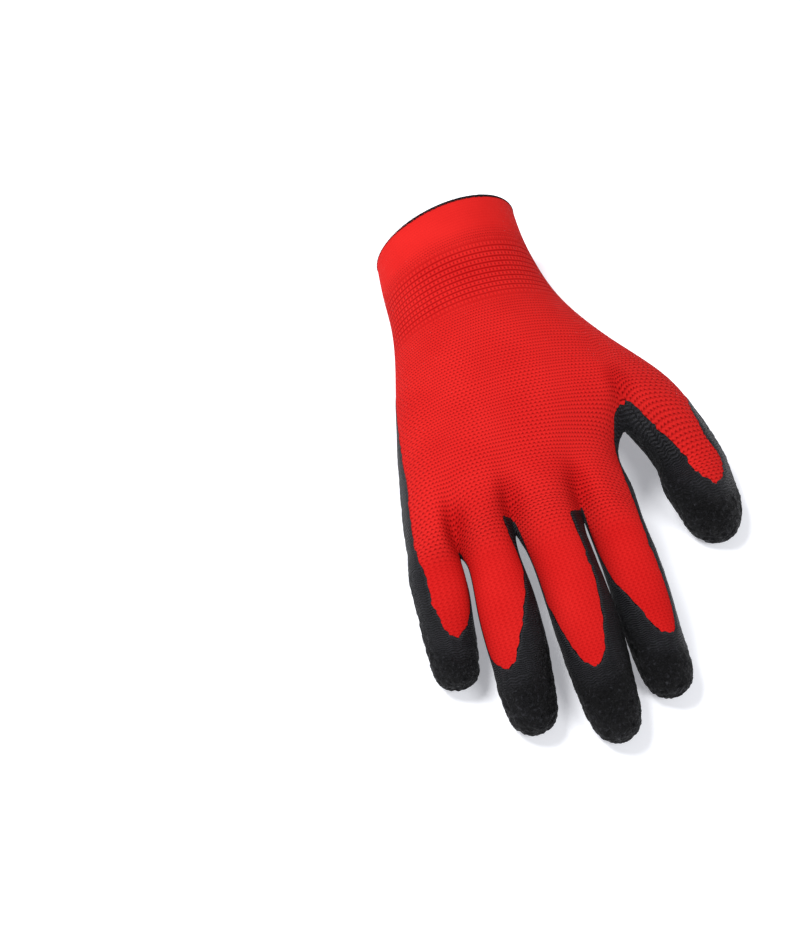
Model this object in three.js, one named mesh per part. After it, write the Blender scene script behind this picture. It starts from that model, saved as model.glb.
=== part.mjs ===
// Coated work glove for a right hand, lying with its back up. Millimetres, +Z up.
// The fingers point along -Y, the cuff opens along +Y and the thumb is on the +X side.
// Three pieces: the seamless knit shell, the latex coating and the overlock at the cuff's rim.
import * as THREE from "three";

// Driving sizes
const KNIT_WALL = 1.1;
const COAT_GAP = 0.3;
const COAT_WALL = 0.9;
const THREAD_WALL = 0.8;
const OVERLOCK_DEPTH = 2.4;
const OVERLOCK_LIP = 1.2;
const FLOOR_CLEARANCE = COAT_GAP + COAT_WALL;
const FIT_STEPS = 6;
const NORMAL_HOLD = 4;

// The knit is a tube that lies flat as two sheets, the back of the hand over the palm. Columns of
// stitches are numbered 0 at the little finger's side to 15 at the thumb's side, three to a digit.
const COLUMNS = 15;
const DIGIT_COLUMNS = 3;
const PALM_COLUMNS = 12;

// Sections of the tube from the cuff's rim to the thumb crotch. little, valley and thumb are the
// [x, y] of the little finger's side, the thumb crotch's column and the thumb's side. centre holds the
// mid height at the little side, the middle and the thumb side. box is the section's superellipse
// power, and spread says how far its columns have moved from even spacing to the knuckles' spacing.
const TUBE_SECTIONS = [
  { little: [-41, 95], valley: [5, 105], thumb: [21.5, 108], centre: [22.5, 22.5, 22.5], thick: 44, box: 2.0, spread: 0 },
  { little: [-43, 77], valley: [4, 86], thumb: [20.5, 89], centre: [23, 23.4, 23], thick: 42.5, box: 2.0, spread: 0 },
  { little: [-45, 57], valley: [5, 64], thumb: [21.5, 66], centre: [26, 28, 25], thick: 36, box: 2.05, spread: 0.1 },
  { little: [-48.5, 38], valley: [9, 44], thumb: [27, 46], centre: [27, 31, 24], thick: 34, box: 2.15, spread: 0.4 },
  { little: [-53, 20], valley: [16, 24], thumb: [40.2, 24.1], centre: [28, 33, 21], thick: 33, box: 2.3, spread: 0.7 },
  { little: [-57, 3], valley: [22, 4], thumb: [55.2, 4.4], centre: [28, 33.5, 18], thick: 32, box: 2.4, spread: 0.9 },
  { little: [-60, -10], valley: [26, -10], thumb: [60.3, -14.8], centre: [28, 33, 16.5], thick: 30, box: 2.4, spread: 1 },
];

// Sections of the palm from the thumb crotch to the finger crotches. For the three finger valleys from
// the little side, back and front are how far the two sheets dip towards each other, and shift moves
// them along Y.
const PALM_SECTIONS = [
  { little: [-62.5, -24], index: [20.5, -26], centre: [27.5, 32.5, 28], thick: 30, back: [0, 0, 0], front: [0, 0, 0], shift: [0, 0, 0] },
  { little: [-64.5, -39], index: [19.5, -40], centre: [27, 31.5, 27.5], thick: 28.5, back: [2, 1.5, 1.5], front: [2, 3, 3], shift: [0, 1, 1] },
  { little: [-66, -52], index: [19.5, -52], centre: [26, 30, 26.5], thick: 26, back: [8, 6, 6], front: [6, 11, 11], shift: [-1, 3, 3] },
];
const PALM_BOX = 2.4;
const THUMB_VALLEY = { back: 1.5, front: 10 };
const FLAT = { back: 0, front: 0 };

// Where each column crosses the knuckles, as a share of the way from the little side to the index side,
// and where the thumb's four columns lie between its valley and its outer side.
const KNUCKLE_SHARES = [0, 0.05, 0.135, 0.197, 0.27, 0.37, 0.443, 0.53, 0.655, 0.742, 0.82, 0.925, 1];
const THUMB_SHARES = [0, 0.28, 0.74, 1];

// Fingers: axis from the knuckle to the tip, width at the root, the middle and the end, and thickness
// at the knuckle and the tip
const FINGERS = [
  { name: "little", base: [-59.4, -54, 24.5], tip: [-60.6, -96.6], width: [17.4, 17.9, 14.2], thick: [17, 14] },
  { name: "ring", base: [-38, -54, 28], tip: [-39.1, -121.1], width: [17.7, 20.4, 15.8], thick: [18.5, 15.5] },
  { name: "middle", base: [-14.8, -54, 28], tip: [-12, -131.7], width: [22, 22.6, 16.6], thick: [19.5, 16.5] },
  { name: "index", base: [8.7, -54, 26], tip: [11.7, -119.2], width: [20.1, 20.1, 16.4], thick: [18.5, 15.5] },
];
const TIP_LIFT = -1.0;
const FINGER_MIDDLE = 0.42;

// Sections along every finger: share of its length, share of its drop to the surface, and how much
// the round end has closed in
const FINGER_SECTIONS = [
  { along: 0.12, drop: 0.04, round: 1 },
  { along: FINGER_MIDDLE, drop: 0.27, round: 1 },
  { along: 0.72, drop: 0.71, round: 1 },
  { along: 0.91, drop: 0.95, round: 0.9 },
  { along: 0.985, drop: 1.0, round: 0.46 },
];

// Sections along the thumb. roll turns a section about the thumb's axis, in degrees.
const THUMB_SECTIONS = [
  { centre: [50.2, -25.6, 14.7], width: 29.8, thick: 19, roll: 25 },
  { centre: [50.6, -37.4, 12.1], width: 31, thick: 18, roll: 27 },
  { centre: [51.7, -48, 8.9], width: 25.6, thick: 17, roll: 27 },
  { centre: [50.4, -55, 7.1], width: 18.6, thick: 14, roll: 26 },
  { centre: [49.4, -58.4, 7.0], width: 8.6, thick: 8, roll: 24 },
];

// Where the coating's edge runs on the back of the glove. A row gives, at one row of stitches, the
// left and right ends of the bare knit in columns from the digit's left side. 0 and 3 are the sides,
// so -1 and 4 leave the whole side bare.
const BARE_BACK = {
  little: [
    { row: 3.6, left: -1, right: 4 }, { row: 4.2, left: 0.1, right: 4 }, { row: 5.4, left: 0.4, right: 4 },
    { row: 7.2, left: 0.66, right: 4 }, { row: 9, left: 0.66, right: 3.5 }, { row: 9.6, left: 0.8, right: 3.2 },
    { row: 10.3, left: 0.97, right: 3.05 }, { row: 10.9, left: 0.93, right: 2.75 },
    { row: 11.25, left: 1.12, right: 2.45 }, { row: 11.45, left: 1.2, right: 2.2 },
    { row: 11.6, left: 1.38, right: 2 }, { row: 11.72, left: 1.7, right: 1.7 },
  ],
  ring: [
    { row: 9.1, left: -0.4, right: 3.4 }, { row: 9.22, left: -0.35, right: 2.3 },
    { row: 9.45, left: -0.3, right: 2.32 }, { row: 9.7, left: -0.1, right: 2.42 },
    { row: 9.97, left: -0.1, right: 2.55 }, { row: 10.33, left: -0.1, right: 2.45 },
    { row: 10.65, left: -0.1, right: 2.2 }, { row: 11.1, left: -0.1, right: 1.82 },
    { row: 11.45, left: 0, right: 1.5 }, { row: 11.62, left: 0.12, right: 1.32 },
    { row: 11.75, left: 0.55, right: 1.1 }, { row: 11.85, left: 0.85, right: 0.85 },
  ],
  middle: [
    { row: 9.2, left: -0.4, right: 3.4 }, { row: 9.5, left: -0.1, right: 2.1 }, { row: 10.1, left: 0, right: 2.1 },
    { row: 10.75, left: 0.06, right: 2.05 }, { row: 11.2, left: 0.4, right: 1.88 },
    { row: 11.45, left: 0.56, right: 1.76 }, { row: 11.6, left: 0.7, right: 1.64 },
    { row: 11.74, left: 0.9, right: 1.5 }, { row: 11.88, left: 1.2, right: 1.2 },
  ],
  index: [
    { row: 6, left: -1, right: 3.4 }, { row: 6.2, left: -1, right: 3 }, { row: 6.5, left: -1, right: 2.6 },
    { row: 7.4, left: -1, right: 2.6 }, { row: 8.3, left: -1, right: 2.4 },
    { row: 9.2, left: -0.4, right: 2.45 }, { row: 9.6, left: -0.1, right: 2.42 },
    { row: 10.4, left: 0.15, right: 2.22 }, { row: 10.9, left: 0.46, right: 2.28 },
    { row: 11.3, left: 0.9, right: 2.34 }, { row: 11.55, left: 1.15, right: 2.31 },
    { row: 11.77, left: 1.4, right: 2.2 }, { row: 11.88, left: 1.6, right: 2.05 },
    { row: 11.96, left: 1.84, right: 1.84 },
  ],
  thumb: [
    { row: 4.6, left: -1, right: 4 }, { row: 5.4, left: -1, right: 2.6 },
    { row: 5.9, left: -0.6, right: 2.27 }, { row: 6.1, left: 0, right: 2.18 },
    { row: 6.3, left: 0.3, right: 2.1 }, { row: 6.6, left: 0.5, right: 1.93 },
    { row: 6.9, left: 0.72, right: 1.8 }, { row: 7.3, left: 0.82, right: 1.88 },
    { row: 7.6, left: 0.87, right: 1.93 }, { row: 7.85, left: 0.99, right: 1.92 },
    { row: 8.15, left: 1.17, right: 1.78 }, { row: 8.34, left: 1.35, right: 1.55 },
    { row: 8.42, left: 1.44, right: 1.46 },
  ],
};

// Where the palm's coating starts towards the cuff, as a row of stitches at each column
const PALM_EDGE = [
  { column: 0, row: 4.0 }, { column: 3, row: 3.7 }, { column: 8, row: 3.5 },
  { column: 12, row: 3.8 }, { column: 14, row: 4.4 }, { column: 15, row: 5.0 },
];

const CROTCH_ROW = TUBE_SECTIONS.length - 1;
const KNUCKLE_ROW = CROTCH_ROW + PALM_SECTIONS.length;

// Straight-line reading of a table of rows between two named columns
function readTable(table, keyName, valueName, key) {
  const last = table.length - 1;
  if (key <= table[0][keyName]) return table[0][valueName];
  if (key >= table[last][keyName]) return table[last][valueName];
  const above = table.findIndex((row) => row[keyName] > key);
  const [a, b] = [table[above - 1], table[above]];
  const share = (key - a[keyName]) / (b[keyName] - a[keyName]);
  return THREE.MathUtils.lerp(a[valueName], b[valueName], share);
}

const mix = (a, b, share) => a.map((value, i) => THREE.MathUtils.lerp(value, b[i], share));

// Height across a section at position t from -1 to 1: a curve through three centre heights, and the
// half thickness of a superellipse
function sectionHeights(centre, thick, box, t) {
  const [low, mid, high] = centre;
  const centreHeight = ((low + high) / 2 - mid) * t * t + ((high - low) / 2) * t + mid;
  const half = (thick / 2) * Math.pow(1 - Math.pow(Math.min(1, Math.abs(t)), box), 1 / box);
  return { centreHeight, half };
}

// Control cage: its vertices carry a column, a row and a side of the glove (1 back, 0 edge, -1 palm)
class Cage {
  constructor() {
    this.points = [];
    this.marks = [];
    this.faces = [];
    this.index = new Map();
  }

  put(key, point, column, row, side) {
    this.index.set(key, this.points.length);
    this.points.push(point);
    this.marks.push({ column, row, side });
  }

  at(key) {
    return this.index.get(key);
  }

  // A vertex of the doubled sheet; both sheets share the vertices of the two sides
  sheet(side, column, row) {
    const shared = this.at(`edge ${column} ${row}`);
    return shared === undefined ? this.at(`${side} ${column} ${row}`) : shared;
  }
}

// One section of the doubled sheet as two rows of vertices that meet at both sides
function putSection(cage, row, lastColumn, place, heights, dip) {
  for (let column = 0; column <= lastColumn; column += 1) {
    const [x, y, t] = place(column);
    const { centreHeight, half } = heights(t);
    if (column === 0 || column === lastColumn) {
      cage.put(`edge ${column} ${row}`, [x, y, centreHeight], column, row, 0);
      continue;
    }
    const { back, front } = dip(column);
    cage.put(`back ${column} ${row}`, [x, y, centreHeight + half - back], column, row, 1);
    cage.put(`palm ${column} ${row}`, [x, y, centreHeight - half + front], column, row, -1);
  }
}

function putTube(cage) {
  TUBE_SECTIONS.forEach((section, row) => {
    const { little, valley, thumb } = section;
    const place = (column) => {
      const even = mix(little, thumb, (1 - Math.cos((Math.PI * column) / COLUMNS)) / 2);
      const knuckle = column <= PALM_COLUMNS
        ? mix(little, valley, KNUCKLE_SHARES[column])
        : mix(valley, thumb, THUMB_SHARES[column - PALM_COLUMNS]);
      const [x, y] = mix(even, knuckle, section.spread);
      return [x, y, (2 * (x - little[0])) / (thumb[0] - little[0]) - 1];
    };
    const heights = (t) => sectionHeights(section.centre, section.thick, section.box, t);
    const dip = (column) => (row === CROTCH_ROW && column === PALM_COLUMNS ? THUMB_VALLEY : FLAT);
    putSection(cage, row, COLUMNS, place, heights, dip);
  });
}

function putPalm(cage) {
  PALM_SECTIONS.forEach((section, i) => {
    const { little, index } = section;
    const shifts = [0, ...section.shift, 0];
    const place = (column) => {
      const [x, y] = mix(little, index, KNUCKLE_SHARES[column]);
      const before = Math.min(3, Math.floor(column / DIGIT_COLUMNS));
      const share = column / DIGIT_COLUMNS - before;
      const shift = THREE.MathUtils.lerp(shifts[before], shifts[before + 1], share);
      return [x, y + shift, (2 * (x - little[0])) / (index[0] - little[0]) - 1];
    };
    const heights = (t) => sectionHeights(section.centre, section.thick, PALM_BOX, t);
    const dip = (column) => {
      const valley = column / DIGIT_COLUMNS - 1;
      return Number.isInteger(valley) ? { back: section.back[valley], front: section.front[valley] } : FLAT;
    };
    putSection(cage, CROTCH_ROW + 1 + i, PALM_COLUMNS, place, heights, dip);
  });
}

// A digit's section is a ring of six vertices
const RING = [
  { name: "left", across: -1, up: 0, column: 0 },
  { name: "backLeft", across: -0.5, up: 0.866, column: 1 },
  { name: "backRight", across: 0.5, up: 0.866, column: 2 },
  { name: "right", across: 1, up: 0, column: 3 },
  { name: "palmRight", across: 0.5, up: -0.866, column: 2 },
  { name: "palmLeft", across: -0.5, up: -0.866, column: 1 },
];
const BACK_ORDER = ["left", "backLeft", "backRight", "right"];
const PALM_ORDER = ["left", "palmLeft", "palmRight", "right"];

function putDigitRing(cage, digit, row, centre, direction, width, thick, roll) {
  const along = new THREE.Vector3(...direction).normalize();
  const across = new THREE.Vector3().crossVectors(along, new THREE.Vector3(0, 0, 1)).normalize();
  if (across.x < 0) across.negate();
  const up = new THREE.Vector3().crossVectors(across, along);
  if (up.z < 0) up.negate();
  const angle = THREE.MathUtils.degToRad(roll);
  const rolledAcross = across.clone().multiplyScalar(Math.cos(angle)).addScaledVector(up, -Math.sin(angle));
  const rolledUp = up.clone().multiplyScalar(Math.cos(angle)).addScaledVector(across, Math.sin(angle));
  RING.forEach((spot) => {
    const point = new THREE.Vector3(...centre)
      .addScaledVector(rolledAcross, (spot.across * width) / 2)
      .addScaledVector(rolledUp, (spot.up * thick) / 2);
    const side = Math.sign(spot.up);
    cage.put(`${digit.name} ${spot.name} ${row}`, point.toArray(), digit.firstColumn + spot.column, row, side);
  });
}

// Sections of a finger as centres with a direction, a width and a thickness
function fingerSections(finger) {
  const [baseX, baseY, baseZ] = finger.base;
  const tipHeight = finger.thick[1] / 2 + TIP_LIFT;
  const centre = ({ along, drop }) => [
    THREE.MathUtils.lerp(baseX, finger.tip[0], along),
    THREE.MathUtils.lerp(baseY, finger.tip[1], along),
    THREE.MathUtils.lerp(baseZ, tipHeight, drop),
  ];
  const [root, middle, end] = finger.width;
  const width = ({ along }) => (along < FINGER_MIDDLE
    ? THREE.MathUtils.mapLinear(along, FINGER_SECTIONS[0].along, FINGER_MIDDLE, root, middle)
    : THREE.MathUtils.mapLinear(along, FINGER_MIDDLE, 1, middle, end));
  return FINGER_SECTIONS.map((section) => ({
    centre: centre(section),
    width: width(section) * section.round,
    thick: THREE.MathUtils.lerp(...finger.thick, section.along) * section.round,
    roll: 0,
  }));
}

const DIGITS = [
  ...FINGERS.map((finger, i) => ({
    name: finger.name,
    firstColumn: i * DIGIT_COLUMNS,
    baseRow: KNUCKLE_ROW,
    sections: fingerSections(finger),
  })),
  { name: "thumb", firstColumn: PALM_COLUMNS, baseRow: CROTCH_ROW, sections: THUMB_SECTIONS },
];

function putDigit(cage, digit) {
  const { sections, baseRow } = digit;
  sections.forEach((section, i) => {
    const before = sections[Math.max(0, i - 1)].centre;
    const after = sections[Math.min(sections.length - 1, i + 1)].centre;
    const direction = after.map((value, k) => value - before[k]);
    putDigitRing(cage, digit, baseRow + 1 + i, section.centre, direction, section.width, section.thick, section.roll);
  });
}

function faceTube(cage) {
  for (let row = 0; row < KNUCKLE_ROW; row += 1) {
    const lastColumn = row < CROTCH_ROW ? COLUMNS : PALM_COLUMNS;
    for (let column = 0; column < lastColumn; column += 1) {
      const corner = (side, dc, dr) => cage.sheet(side, column + dc, row + dr);
      cage.faces.push([corner("back", 0, 0), corner("back", 0, 1), corner("back", 1, 1), corner("back", 1, 0)]);
      cage.faces.push([corner("palm", 0, 0), corner("palm", 1, 0), corner("palm", 1, 1), corner("palm", 0, 1)]);
    }
  }
}

function faceDigit(cage, digit) {
  const { name, firstColumn, baseRow, sections } = digit;
  const lastRow = baseRow + sections.length;
  const spot = (order, side, i, row) => (
    row === baseRow ? cage.sheet(side, firstColumn + i, row) : cage.at(`${name} ${order[i]} ${row}`)
  );
  for (let row = baseRow; row < lastRow; row += 1) {
    for (let i = 0; i < DIGIT_COLUMNS; i += 1) {
      const back = (di, dr) => spot(BACK_ORDER, "back", i + di, row + dr);
      const palm = (di, dr) => spot(PALM_ORDER, "palm", i + di, row + dr);
      cage.faces.push([back(0, 0), back(0, 1), back(1, 1), back(1, 0)]);
      cage.faces.push([palm(0, 0), palm(1, 0), palm(1, 1), palm(0, 1)]);
    }
  }
  const end = (spotName) => cage.at(`${name} ${spotName} ${lastRow}`);
  cage.faces.push([end("left"), end("right"), end("backRight"), end("backLeft")]);
  cage.faces.push([end("left"), end("palmLeft"), end("palmRight"), end("right")]);
}

// The web between two digits: back valley, right side of one, palm valley, left side of the next
function faceWebs(cage) {
  for (let i = 0; i < FINGERS.length - 1; i += 1) {
    const column = (i + 1) * DIGIT_COLUMNS;
    const row = KNUCKLE_ROW;
    cage.faces.push([
      cage.at(`back ${column} ${row}`), cage.at(`${FINGERS[i].name} right ${row + 1}`),
      cage.at(`palm ${column} ${row}`), cage.at(`${FINGERS[i + 1].name} left ${row + 1}`),
    ]);
  }
  cage.faces.push([
    cage.at(`back ${PALM_COLUMNS} ${CROTCH_ROW}`), cage.at(`edge ${PALM_COLUMNS} ${CROTCH_ROW + 1}`),
    cage.at(`palm ${PALM_COLUMNS} ${CROTCH_ROW}`), cage.at(`thumb left ${CROTCH_ROW + 1}`),
  ]);
}

function buildCage() {
  const cage = new Cage();
  putTube(cage);
  putPalm(cage);
  DIGITS.forEach((digit) => putDigit(cage, digit));
  faceTube(cage);
  DIGITS.forEach((digit) => faceDigit(cage, digit));
  faceWebs(cage);
  return cage;
}

const addTo = (sum, value, factor = 1) => sum.forEach((_, k) => { sum[k] += value[k] * factor; });
const meanOf = (values) => {
  const sum = [0, 0, 0];
  values.forEach((value) => addTo(sum, value, 1 / values.length));
  return sum;
};

// Edges of a quad mesh with the faces on each of them
function findEdges(faces) {
  const edges = new Map();
  faces.forEach((face, f) => face.forEach((a, k) => {
    const b = face[(k + 1) % 4];
    const key = a < b ? `${a} ${b}` : `${b} ${a}`;
    if (!edges.has(key)) edges.set(key, { a: Math.min(a, b), b: Math.max(a, b), faces: [] });
    edges.get(key).faces.push(f);
  }));
  return edges;
}

// Limit position of every vertex of a Catmull-Clark mesh
function limitPoints(points, faces) {
  const edges = findEdges(faces);
  const ring = points.map(() => ({ near: [0, 0, 0], far: [0, 0, 0], rim: [0, 0, 0], count: 0, onRim: false }));
  edges.forEach(({ a, b, faces: sides }) => [[a, b], [b, a]].forEach(([from, to]) => {
    ring[from].count += 1;
    addTo(ring[from].near, points[to]);
    if (sides.length === 1) {
      ring[from].onRim = true;
      addTo(ring[from].rim, points[to]);
    }
  }));
  faces.forEach((face) => face.forEach((v, k) => addTo(ring[v].far, points[face[(k + 2) % 4]])));
  return points.map((point, v) => {
    const { near, far, rim, count: n, onRim } = ring[v];
    if (onRim) return point.map((value, k) => (4 * value + rim[k]) / 6);
    return point.map((value, k) => (n * n * value + 4 * near[k] + far[k]) / (n * (n + 5)));
  });
}

// Moves the cage's vertices until the smooth surface passes through the sections' points
function fitCage(cage) {
  let points = cage.points.map((point) => [...point]);
  for (let step = 0; step < FIT_STEPS; step += 1) {
    const reached = limitPoints(points, cage.faces);
    points = points.map((point, v) => point.map((value, k) => value + cage.points[v][k] - reached[v][k]));
  }
  return points;
}

// One Catmull-Clark step. origins lists, for each new vertex, the old vertices that it came from.
function subdivide(points, faces) {
  const edges = findEdges(faces);
  const facePoints = faces.map((face) => meanOf(face.map((v) => points[v])));
  const edgeIndex = new Map();
  const edgePoints = [];
  const edgeOrigins = [];
  const ring = points.map(() => ({ mids: [0, 0, 0], faces: [0, 0, 0], rim: [0, 0, 0], edges: 0, faceCount: 0, onRim: false }));
  edges.forEach((edge, key) => {
    const middle = meanOf([points[edge.a], points[edge.b]]);
    const isRim = edge.faces.length === 1;
    const around = edge.faces.map((f) => facePoints[f]);
    edgeIndex.set(key, edgePoints.length);
    edgePoints.push(isRim ? middle : meanOf([points[edge.a], points[edge.b], ...around]));
    edgeOrigins.push([edge.a, edge.b]);
    [[edge.a, edge.b], [edge.b, edge.a]].forEach(([from, to]) => {
      ring[from].edges += 1;
      addTo(ring[from].mids, middle);
      if (isRim) {
        ring[from].onRim = true;
        addTo(ring[from].rim, points[to]);
      }
    });
  });
  faces.forEach((face, f) => face.forEach((v) => {
    addTo(ring[v].faces, facePoints[f]);
    ring[v].faceCount += 1;
  }));
  const oldPoints = points.map((point, v) => {
    const around = ring[v];
    if (around.onRim) return point.map((value, k) => 0.75 * value + 0.125 * around.rim[k]);
    const n = around.edges;
    return point.map((value, k) => (
      (around.faces[k] / around.faceCount + (2 * around.mids[k]) / n + (n - 3) * value) / n
    ));
  });
  const firstEdge = points.length;
  const firstFace = firstEdge + edgePoints.length;
  const edgeOf = (a, b) => firstEdge + edgeIndex.get(a < b ? `${a} ${b}` : `${b} ${a}`);
  const newFaces = faces.flatMap((face, f) => face.map((v, k) => [
    v, edgeOf(v, face[(k + 1) % 4]), firstFace + f, edgeOf(face[(k + 3) % 4], v),
  ]));
  return {
    points: [...oldPoints, ...edgePoints, ...facePoints],
    faces: newFaces,
    origins: [...points.map((_, v) => [v]), ...edgeOrigins, ...faces],
  };
}

// Quads as triangles, cut along the shorter diagonal
function triangulate(points, faces) {
  const distance = (a, b) => Math.hypot(...points[a].map((value, k) => value - points[b][k]));
  return faces.flatMap(([a, b, c, d]) => (
    distance(a, c) <= distance(b, d) ? [[a, b, c], [a, c, d]] : [[a, b, d], [b, c, d]]
  ));
}

function vertexNormals(points, triangles) {
  const normals = points.map(() => new THREE.Vector3());
  const corners = [new THREE.Vector3(), new THREE.Vector3(), new THREE.Vector3()];
  triangles.forEach((triangle) => {
    triangle.forEach((v, k) => corners[k].fromArray(points[v]));
    const across = corners[1].clone().sub(corners[0]).cross(corners[2].clone().sub(corners[0]));
    triangle.forEach((v) => normals[v].add(across));
  });
  return normals.map((normal) => normal.normalize());
}

// Normals averaged with their neighbours', so that a wall laid on a narrow crotch doesn't fold
function softenNormals(normals, triangles) {
  const sums = normals.map((normal) => normal.clone().multiplyScalar(NORMAL_HOLD));
  triangles.forEach(([a, b, c]) => {
    sums[a].add(normals[b]).add(normals[c]);
    sums[b].add(normals[c]).add(normals[a]);
    sums[c].add(normals[a]).add(normals[b]);
  });
  return sums.map((sum) => sum.normalize());
}

// How far a spot lies inside the bare knit, in columns; the coating covers what is below zero
function bareDepth({ column, row, side, digit }) {
  const table = BARE_BACK[digit.name];
  const local = column - digit.firstColumn;
  if (side < 0) {
    const fromSide = -Math.min(local, DIGIT_COLUMNS - local);
    const start = row <= CROTCH_ROW ? readTable(PALM_EDGE, "column", "row", column) - row : -1;
    return Math.max(start, -1) < 0 ? Math.min(start, fromSide) : start;
  }
  return Math.min(local - readTable(table, "row", "left", row), readTable(table, "row", "right", row) - local);
}

function markOf(marks, origin) {
  const from = origin.map((v) => marks[v]);
  const mean = (name) => from.reduce((sum, mark) => sum + mark[name], 0) / from.length;
  return { column: mean("column"), row: mean("row"), side: mean("side") };
}

// Which digit a spot of the doubled sheet belongs to; valleys count as part of the digit on their left
function digitAt({ column, row }) {
  const thumb = DIGITS[DIGITS.length - 1];
  if (column > PALM_COLUMNS) return thumb;
  const i = Math.min(FINGERS.length - 1, Math.floor(column / DIGIT_COLUMNS - 1e-6));
  return DIGITS[Math.max(0, i)];
}

// The glove's outer surface: points, triangles, normals, and how bare each vertex is
function buildSurface() {
  const cage = buildCage();
  const fine = subdivide(fitCage(cage), cage.faces);
  const points = limitPoints(fine.points, fine.faces);
  const pressed = points.map((point) => point[2] <= FLOOR_CLEARANCE);
  points.forEach((point, v) => { if (pressed[v]) point[2] = FLOOR_CLEARANCE; });
  const triangles = triangulate(points, fine.faces);
  const normals = softenNormals(vertexNormals(points, triangles), triangles);
  pressed.forEach((isPressed, v) => { if (isPressed) normals[v].set(0, 0, -1); });
  const bare = fine.origins.map((origin) => {
    const mark = markOf(cage.marks, origin);
    return bareDepth({ ...mark, digit: digitAt(mark) });
  });
  // The middle of a web takes the mean of its four corners
  const webStart = cage.faces.length - FINGERS.length;
  const firstFace = fine.origins.length - cage.faces.length;
  for (let web = webStart; web < cage.faces.length; web += 1) {
    const corners = cage.faces[web].map((v) => bare[v]);
    bare[firstFace + web] = corners.reduce((sum, value) => sum + value, 0) / 4;
  }
  return { points, triangles, normals, bare };
}

// A closed wall between two copies of a patch moved along its normals
function thicken(points, normals, triangles, from, to) {
  const move = (distance) => points.map((point, v) => new THREE.Vector3(...point).addScaledVector(normals[v], distance));
  const outer = move(to);
  const inner = move(from);
  const count = points.length;
  const edges = new Map();
  triangles.forEach((triangle) => triangle.forEach((a, k) => edges.set(`${a} ${triangle[(k + 1) % 3]}`, [a, triangle[(k + 1) % 3]])));
  const open = [...edges.values()].filter(([a, b]) => !edges.has(`${b} ${a}`));
  const walls = open.flatMap(([a, b]) => [[b, a, a + count], [b, a + count, b + count]]);
  const inside = triangles.map(([a, b, c]) => [a + count, c + count, b + count]);
  return { points: [...outer, ...inner], triangles: [...triangles, ...inside, ...walls], open };
}

function toGeometry({ points, triangles }) {
  const geometry = new THREE.BufferGeometry();
  const positions = points.flatMap((point) => [point.x, point.y, point.z]);
  geometry.setAttribute("position", new THREE.Float32BufferAttribute(positions, 3));
  geometry.setIndex(triangles.flat());
  geometry.computeVertexNormals();
  return geometry;
}

// The part of the surface that the coating covers, cut along the line where bare depth is zero
function coatedPatch(surface) {
  const { points, normals, triangles, bare } = surface;
  const patch = { points: [], normals: [], triangles: [] };
  const taken = new Map();
  const add = (key, point, normal) => {
    if (!taken.has(key)) {
      taken.set(key, patch.points.length);
      patch.points.push(point);
      patch.normals.push(normal);
    }
    return taken.get(key);
  };
  const whole = (v) => add(`${v}`, points[v], normals[v]);
  const cut = (a, b) => {
    const [low, high] = a < b ? [a, b] : [b, a];
    const share = THREE.MathUtils.clamp(bare[low] / (bare[low] - bare[high]), 0.1, 0.9);
    const normal = normals[low].clone().lerp(normals[high], share).normalize();
    return add(`${low} ${high}`, mix(points[low], points[high], share), normal);
  };
  triangles.forEach((triangle) => {
    const outline = [];
    triangle.forEach((a, k) => {
      const b = triangle[(k + 1) % 3];
      if (bare[a] < 0) outline.push(whole(a));
      if ((bare[a] < 0) !== (bare[b] < 0)) outline.push(cut(a, b));
    });
    for (let k = 1; k + 1 < outline.length; k += 1) patch.triangles.push([outline[0], outline[k], outline[k + 1]]);
  });
  return patch;
}

// The overlock's section wraps the rim: across is out from the knit's outer face, along is out of the cuff
function overlockSection() {
  const outerFace = COAT_GAP + COAT_WALL;
  const innerFace = -KNIT_WALL - COAT_GAP - THREAD_WALL;
  const top = COAT_GAP + THREAD_WALL;
  return [
    { across: outerFace, along: -OVERLOCK_LIP }, { across: outerFace, along: top },
    { across: innerFace, along: top }, { across: innerFace, along: -OVERLOCK_DEPTH },
    { across: -KNIT_WALL - COAT_GAP, along: -OVERLOCK_DEPTH }, { across: -KNIT_WALL - COAT_GAP, along: COAT_GAP },
    { across: COAT_GAP, along: COAT_GAP }, { across: COAT_GAP, along: -OVERLOCK_LIP },
  ];
}

// The rim's vertices in order round the cuff
function rimLoop(open, points) {
  const next = new Map(open);
  const start = open[0][0];
  const loop = [start];
  while (next.get(loop[loop.length - 1]) !== start) loop.push(next.get(loop[loop.length - 1]));
  return loop;
}

function overlockRing(surface, open) {
  const loop = rimLoop(open, surface.points);
  const section = overlockSection();
  const points = [];
  loop.forEach((v, i) => {
    const before = new THREE.Vector3(...surface.points[loop[(i + loop.length - 1) % loop.length]]);
    const after = new THREE.Vector3(...surface.points[loop[(i + 1) % loop.length]]);
    const out = surface.normals[v];
    const round = after.sub(before).normalize();
    const along = new THREE.Vector3().crossVectors(out, round).normalize();
    if (along.y < 0) along.negate();
    const base = new THREE.Vector3(...surface.points[v]);
    section.forEach((spot) => points.push(
      base.clone().addScaledVector(out, spot.across).addScaledVector(along, spot.along),
    ));
  });
  const size = section.length;
  const triangles = [];
  loop.forEach((_, i) => section.forEach((__, k) => {
    const [here, there] = [i * size, ((i + 1) % loop.length) * size];
    const after = (k + 1) % size;
    triangles.push([here + k, here + after, there + after], [here + k, there + after, there + k]);
  }));
  return { points, triangles };
}

// Turns a closed mesh inside out where its volume comes out negative
function facingOut(mesh) {
  const volume = mesh.triangles.reduce((sum, [a, b, c]) => (
    sum + mesh.points[a].dot(new THREE.Vector3().crossVectors(mesh.points[b], mesh.points[c]))
  ), 0);
  return volume > 0 ? mesh : { points: mesh.points, triangles: mesh.triangles.map(([a, b, c]) => [a, c, b]) };
}

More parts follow.
